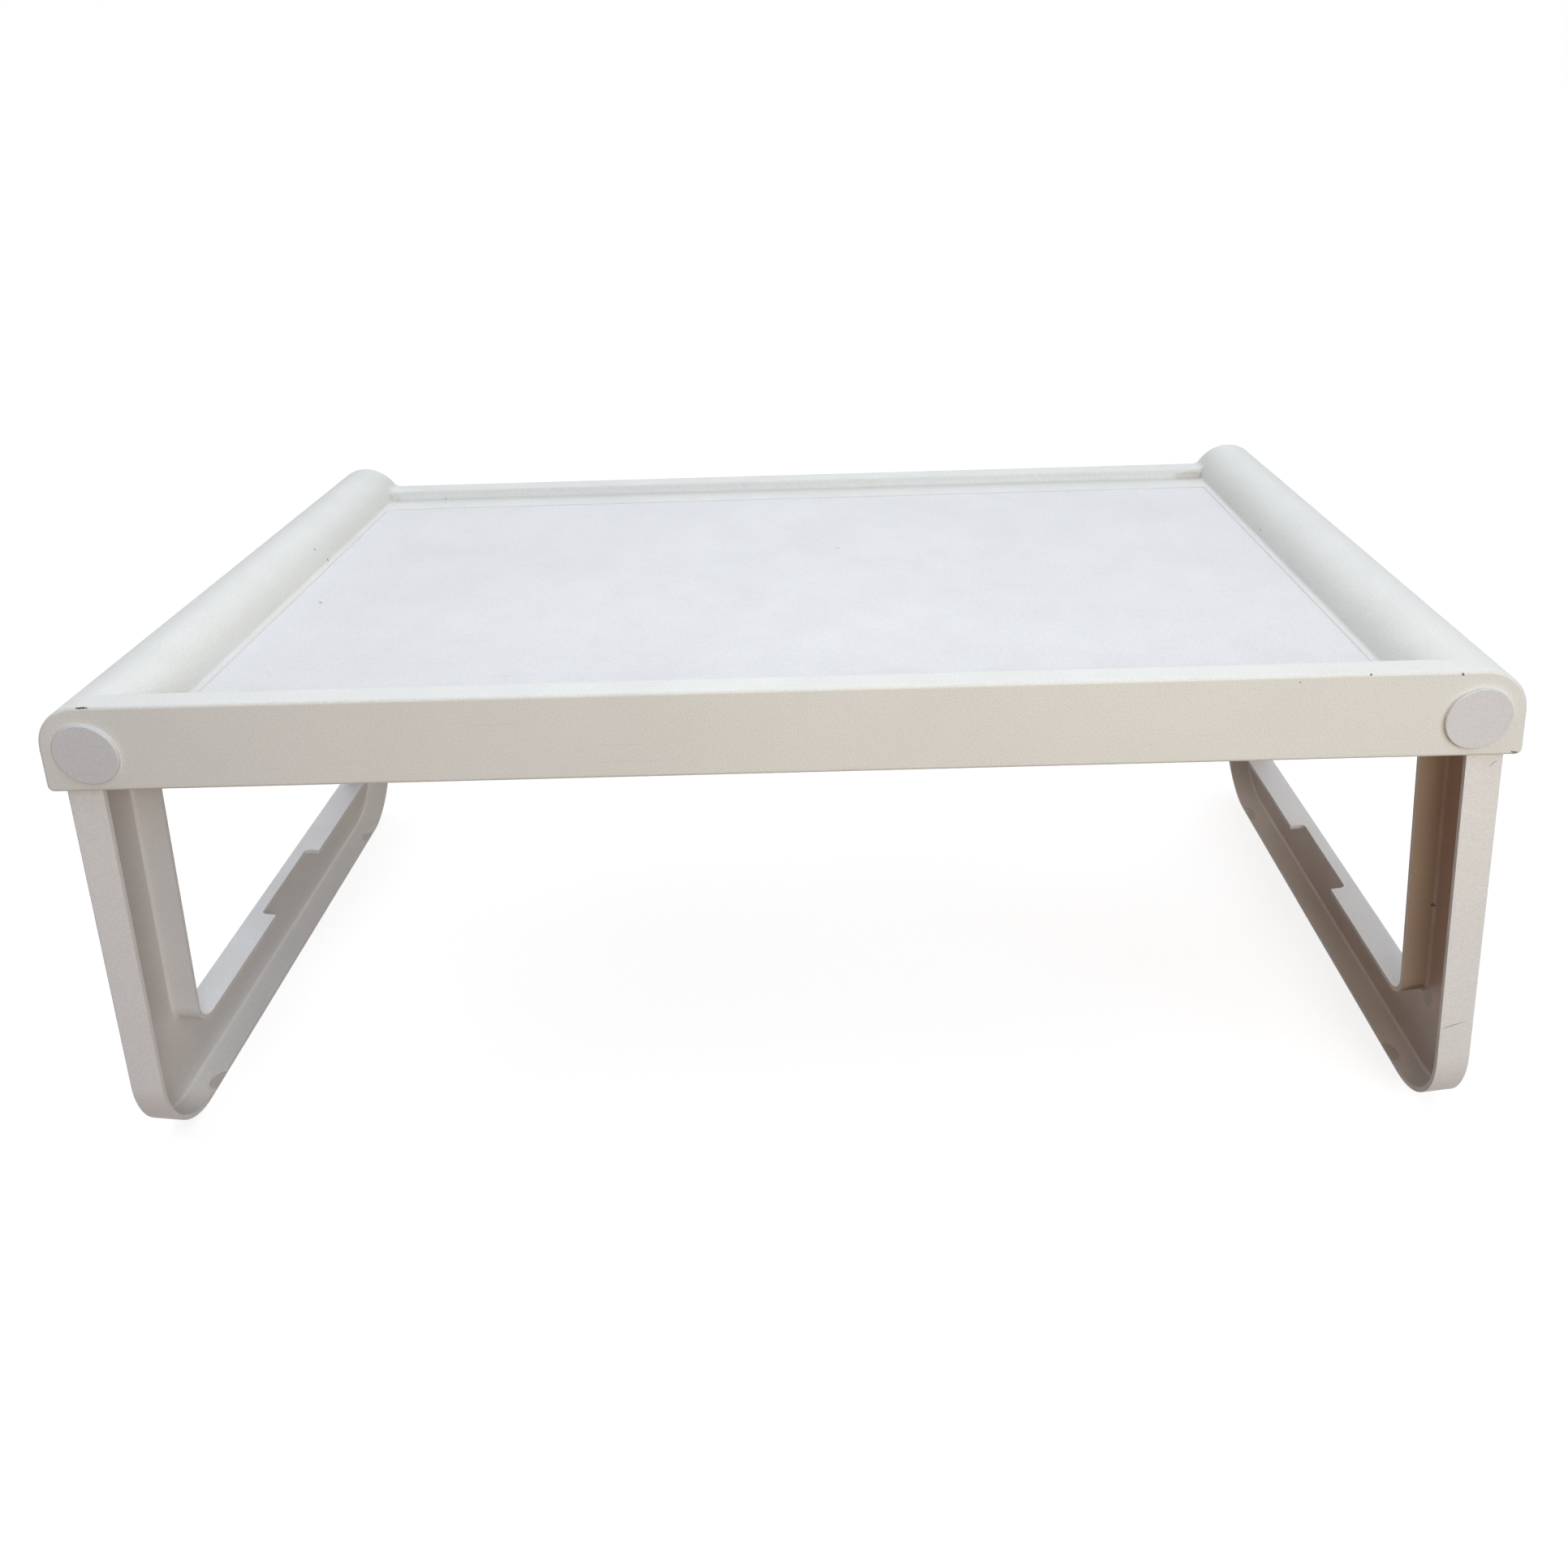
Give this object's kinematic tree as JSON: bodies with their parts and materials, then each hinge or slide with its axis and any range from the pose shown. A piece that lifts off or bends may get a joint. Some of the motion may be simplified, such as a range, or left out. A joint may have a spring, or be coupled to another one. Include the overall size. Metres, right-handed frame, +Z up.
{
  "type": "folding tray table",
  "caption": "Low moulded tray with half-round rolls along its ends, standing on two U-shaped legs that fold flat under it.",
  "frame": {"origin": "on the ground under the middle of the tray, legs open", "axes": "+X along the tray towards the right leg, +Y from the higher front rim to the lower rear rim, +Z up"},
  "size_m": [0.6318, 0.3634, 0.2393],
  "materials": {
    "tray": "moulded, satin to gloss, fine grain on the floor",
    "leg": "moulded, satin",
    "pin": "moulded, satin, a little greyer"
  },
  "bodies": {
    "table": {"tray_body": "tray", "front_right_pivot_pin": "pin", "rear_right_pivot_pin": "pin", "front_left_pivot_pin": "pin", "rear_left_pivot_pin": "pin"},
    "right_leg": {"right_leg": "leg"},
    "left_leg": {"left_leg": "leg"}
  },
  "joints": [
    {"name": "right_leg_fold", "type": "hinge", "parent": "table", "child": "right_leg", "pos_m": [0.27359, 0, 0.21927], "axis": [0, 1, 0], "range_deg": [0, 97.5]},
    {"name": "left_leg_fold", "type": "hinge", "parent": "table", "child": "left_leg", "pos_m": [-0.27359, 0, 0.21927], "axis": [0, -1, 0], "range_deg": [0, 97.5]}
  ]
}
